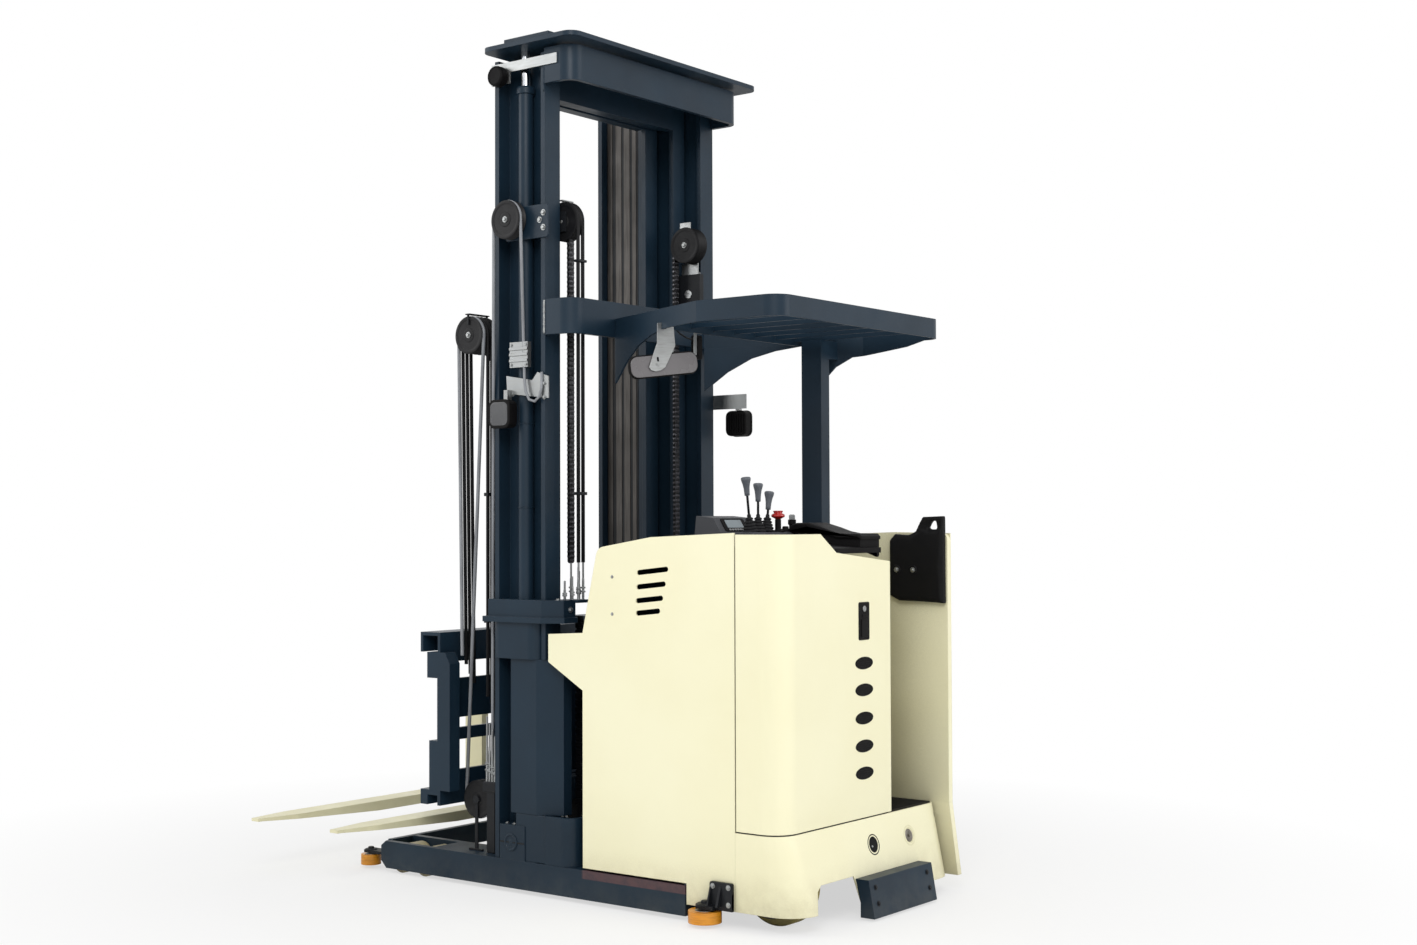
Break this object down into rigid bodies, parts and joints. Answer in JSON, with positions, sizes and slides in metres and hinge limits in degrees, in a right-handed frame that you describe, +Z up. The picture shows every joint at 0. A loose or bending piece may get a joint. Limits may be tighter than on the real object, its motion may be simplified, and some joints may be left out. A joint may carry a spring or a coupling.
{
  "type": "three-way forklift",
  "caption": "Stand-on three-way stacker truck: triplex mast, sideways-shifting head with turning forks, straddle legs, overhead guard and open-backed compartment.",
  "frame": {"origin": "floor level, at the middle of the footprint box", "axes": "+Z up, +X towards the mast and forks' head, +Y to the truck's left"},
  "size_m": [2.595, 1.531, 3.361],
  "materials": {
    "battery_case": "dull paint",
    "black_paint": "satin black paint",
    "black_plastic": "grained",
    "body_cream": "satin paint",
    "cast": "painted casting",
    "chromed_rod": "polished",
    "drive_tyre": "polyurethane",
    "fork_paint": "paint, worn at the tip",
    "grey_plastic": "grained",
    "hose_rubber": "matte",
    "load_tyre": "polyurethane",
    "mast_paint": "satin powder coat",
    "mat_rubber": "ribbed",
    "pad_foam": "soft black cover",
    "red_plastic": "gloss",
    "roller_orange": "polyurethane",
    "sheave_plastic": "matte",
    "steel": "machined",
    "zinc": "zinc plated"
  },
  "bodies": {
    "chassis": {"armrest": "black_plastic", "battery": "battery_case", "cabin_floor": "mast_paint", "cabin_walls": "body_cream", "cable_brackets": "mast_paint", "cable_sheaves": "sheave_plastic", "chassis_frame": "mast_paint", "console": "grey_plastic", "console_levers": "black_plastic", "cylinder_mounts": "mast_paint", "door_hinges": "zinc", "floor_mat": "mat_rubber", "front_panel": "mast_paint", "guard_frame": "mast_paint", "guide_brackets": "black_paint", "lamp_brackets": "zinc", "lift_barrels": "mast_paint", "load_axles": "steel", "mast_yokes": "mast_paint", "mirror": "grey_plastic", "outer_posts": "mast_paint", "rear_bumper": "mast_paint", "rear_skirt": "body_cream", "side_panel_left": "body_cream", "side_panel_right": "body_cream", "stop_button": "red_plastic", "top_cover": "black_plastic", "wall_pad": "pad_foam", "work_lamps": "black_plastic"},
    "service_door": {"service_door": "body_cream", "door_lock": "black_plastic"},
    "drive_unit": {"drive_unit": "cast"},
    "drive_wheel": {"drive_wheel": "drive_tyre"},
    "castor_fork": {"castor_fork": "zinc"},
    "castor_wheel": {"castor_wheel": "drive_tyre"},
    "middle_mast": {"middle_mast": "mast_paint", "lift_rods": "chromed_rod", "chain_sheaves": "sheave_plastic", "chain_brackets": "black_paint"},
    "inner_mast": {"inner_mast": "mast_paint", "inner_hoses": "hose_rubber"},
    "carriage": {"traverse_frame": "mast_paint", "carriage_arms": "mast_paint"},
    "shift_head": {"shift_head": "mast_paint"},
    "fork_head": {"fork_carriage": "mast_paint", "fork_near": "fork_paint", "fork_far": "fork_paint"},
    "load_roller_rear_left": {"load_roller_rear_left": "load_tyre"},
    "guide_roller_rear_left": {"guide_roller_rear_left": "roller_orange"},
    "load_roller_front_left": {"load_roller_front_left": "load_tyre"},
    "guide_roller_front_left": {"guide_roller_front_left": "roller_orange"},
    "load_roller_rear_right": {"load_roller_rear_right": "load_tyre"},
    "guide_roller_rear_right": {"guide_roller_rear_right": "roller_orange"},
    "load_roller_front_right": {"load_roller_front_right": "load_tyre"},
    "guide_roller_front_right": {"guide_roller_front_right": "roller_orange"}
  },
  "joints": [
    {"name": "service_door_swing", "type": "hinge", "parent": "chassis", "child": "service_door", "pos_m": [-0.9245, 0.3855, 0.87], "axis": [0, 0, -1], "range_deg": [0, 95]},
    {"name": "drive_steer", "type": "hinge", "parent": "chassis", "child": "drive_unit", "pos_m": [-1.0435, 0.2355, 0.34], "axis": [0, 0, 1], "range_deg": [-90, 90]},
    {"name": "drive_wheel_spin", "type": "hinge", "parent": "drive_unit", "child": "drive_wheel", "pos_m": [-1.0435, 0.2355, 0.15], "axis": [0, 1, 0], "continuous": true},
    {"name": "castor_swivel", "type": "hinge", "parent": "chassis", "child": "castor_fork", "pos_m": [-0.9775, -0.4945, 0.24], "axis": [0, 0, 1], "continuous": true},
    {"name": "castor_spin", "type": "hinge", "parent": "castor_fork", "child": "castor_wheel", "pos_m": [-1.0155, -0.4945, 0.075], "axis": [0, 1, 0], "continuous": true},
    {"name": "load_roller_rear_left_spin", "type": "hinge", "parent": "chassis", "child": "load_roller_rear_left", "pos_m": [0.6525, 0.3105, 0.058], "axis": [0, 1, 0], "continuous": true},
    {"name": "load_roller_front_left_spin", "type": "hinge", "parent": "chassis", "child": "load_roller_front_left", "pos_m": [0.7885, 0.3105, 0.058], "axis": [0, 1, 0], "continuous": true},
    {"name": "guide_roller_rear_left_spin", "type": "hinge", "parent": "chassis", "child": "guide_roller_rear_left", "pos_m": [-0.8385, 0.4195, 0.0355], "axis": [0, 0, 1], "continuous": true},
    {"name": "guide_roller_front_left_spin", "type": "hinge", "parent": "chassis", "child": "guide_roller_front_left", "pos_m": [0.9875, 0.3595, 0.0355], "axis": [0, 0, 1], "continuous": true},
    {"name": "load_roller_rear_right_spin", "type": "hinge", "parent": "chassis", "child": "load_roller_rear_right", "pos_m": [0.6525, -0.5955, 0.058], "axis": [0, 1, 0], "continuous": true},
    {"name": "load_roller_front_right_spin", "type": "hinge", "parent": "chassis", "child": "load_roller_front_right", "pos_m": [0.7885, -0.5955, 0.058], "axis": [0, 1, 0], "continuous": true},
    {"name": "guide_roller_rear_right_spin", "type": "hinge", "parent": "chassis", "child": "guide_roller_rear_right", "pos_m": [-0.8385, -0.7045, 0.0355], "axis": [0, 0, 1], "continuous": true},
    {"name": "guide_roller_front_right_spin", "type": "hinge", "parent": "chassis", "child": "guide_roller_front_right", "pos_m": [0.9875, -0.6445, 0.0355], "axis": [0, 0, 1], "continuous": true},
    {"name": "mast_lift", "type": "slide", "parent": "chassis", "child": "middle_mast", "axis": [0, 0, 1], "range_m": [0, 2.1]},
    {"name": "inner_lift", "type": "slide", "parent": "middle_mast", "child": "inner_mast", "axis": [0, 0, 1], "range_m": [0, 2.1]},
    {"name": "carriage_lift", "type": "slide", "parent": "inner_mast", "child": "carriage", "axis": [0, 0, 1], "range_m": [-0.055, 2.15]},
    {"name": "head_shift", "type": "slide", "parent": "carriage", "child": "shift_head", "axis": [0, 1, 0], "range_m": [0, 0.98]},
    {"name": "head_turn", "type": "hinge", "parent": "shift_head", "child": "fork_head", "pos_m": [1.0015, -0.6325, 0.56], "axis": [0, 0, 1], "range_deg": [-180, 0]}
  ],
  "couplings": [
    {"joint": "inner_lift", "follows": "mast_lift", "ratio": 1}
  ]
}
